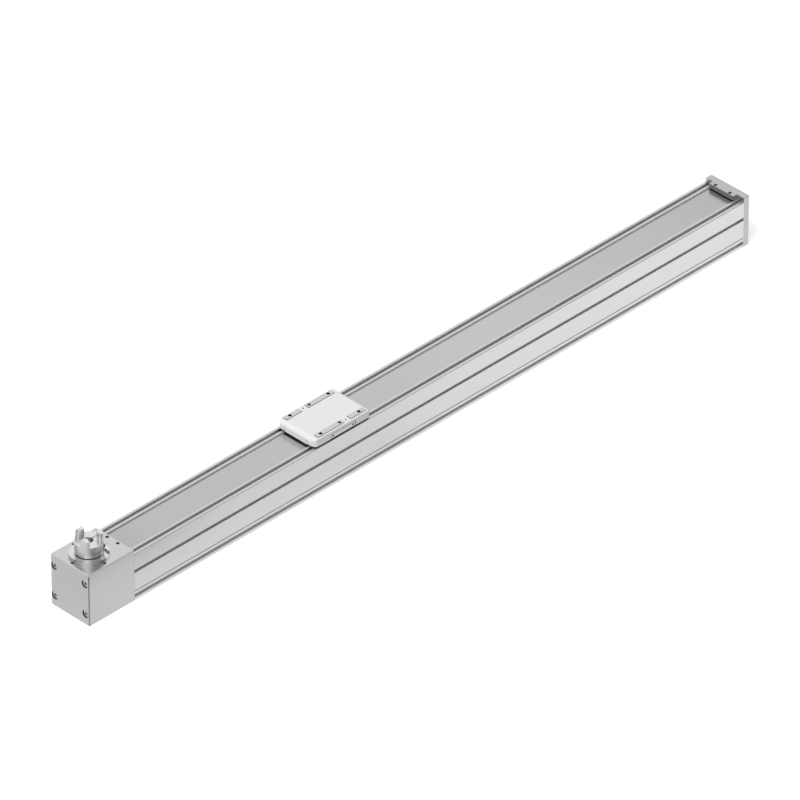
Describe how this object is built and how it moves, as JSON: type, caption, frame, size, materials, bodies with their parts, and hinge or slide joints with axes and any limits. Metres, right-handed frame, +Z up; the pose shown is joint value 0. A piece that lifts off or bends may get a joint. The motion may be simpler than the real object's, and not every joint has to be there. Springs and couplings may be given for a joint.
{
  "type": "electric linear actuator",
  "caption": "Long toothed belt linear axis with an open coupling hub for a motor, a slide with threaded pads over a steel cover strip, a grooved profile, drive head and end cap.",
  "frame": {"origin": "middle of the underside of the axis, halfway along its length", "axes": "+X along the travel from the drive head to the end cap, +Y across, +Z up out of the slide's pads"},
  "size_m": [1.024, 0.06, 0.0931],
  "materials": {
    "anodised_aluminium": "clear anodised, fine matt",
    "bright_aluminium": "machined, clear anodised",
    "stainless_strip": "rolled, satin",
    "hardened_steel": "ground",
    "zinc_plated_steel": "bright plated",
    "light_plastic": "moulded, satin",
    "black_rubber": "moulded, matt",
    "belt_polyurethane": "moulded, satin"
  },
  "bodies": {
    "housing": {"profile_housing": "anodised_aluminium", "drive_head": "anodised_aluminium", "drive_head_screws": "zinc_plated_steel", "end_cap": "anodised_aluminium", "end_cap_screws": "zinc_plated_steel", "bearing_cover": "anodised_aluminium", "bearing_cover_screws": "zinc_plated_steel", "upper_bearing_outer": "hardened_steel", "lower_bearing_outer": "hardened_steel", "centring_collar": "bright_aluminium", "cover_strip": "stainless_strip", "head_strip_pad": "zinc_plated_steel", "cap_strip_pad": "zinc_plated_steel", "head_clamp_screws": "zinc_plated_steel", "cap_clamp_screws": "zinc_plated_steel", "tension_fork": "anodised_aluminium", "idler_axle": "hardened_steel", "tension_screws": "zinc_plated_steel", "idler_bearing_inner": "hardened_steel", "toothed_belt": "belt_polyurethane", "guide_rail": "hardened_steel", "guide_rail_screws": "zinc_plated_steel", "head_buffer": "black_rubber", "cap_buffer": "black_rubber"},
    "carriage": {"slide_body": "bright_aluminium", "slide_cover": "light_plastic", "front_deflector": "light_plastic", "rear_deflector": "light_plastic", "strip_wipers": "black_rubber", "guide_block": "hardened_steel", "block_end_seals": "black_rubber", "guide_balls": "hardened_steel", "block_screws": "zinc_plated_steel", "belt_clamp_jaws": "bright_aluminium", "belt_clamp_plates": "bright_aluminium", "belt_clamp_screws": "zinc_plated_steel"},
    "drive_line": {"drive_shaft": "hardened_steel", "shaft_spacer": "anodised_aluminium", "drive_pulley": "bright_aluminium", "upper_bearing_inner": "hardened_steel", "lower_bearing_inner": "hardened_steel", "coupling_hub": "bright_aluminium", "hub_clamp_screw": "zinc_plated_steel"},
    "idler": {"idler_pulley": "bright_aluminium", "idler_bearing_outer": "hardened_steel"}
  },
  "joints": [
    {"name": "slide_travel", "type": "slide", "parent": "housing", "child": "carriage", "axis": [1, 0, 0], "range_m": [-0.245, 0.555], "deforming": ["cover_strip", "toothed_belt"]},
    {"name": "drive_spin", "type": "hinge", "parent": "housing", "child": "drive_line", "pos_m": [-0.4831, 0, 0.046], "axis": [0, 0, 1], "range_deg": [-1131, 2562]},
    {"name": "idler_spin", "type": "hinge", "parent": "housing", "child": "idler", "pos_m": [0.4829, 0, 0.046], "axis": [0, 0, 1], "range_deg": [-1131, 2562]}
  ],
  "couplings": [
    {"joint": "drive_spin", "follows": "slide_travel", "rad_per_m": 80.554},
    {"joint": "idler_spin", "follows": "slide_travel", "rad_per_m": 80.554}
  ]
}
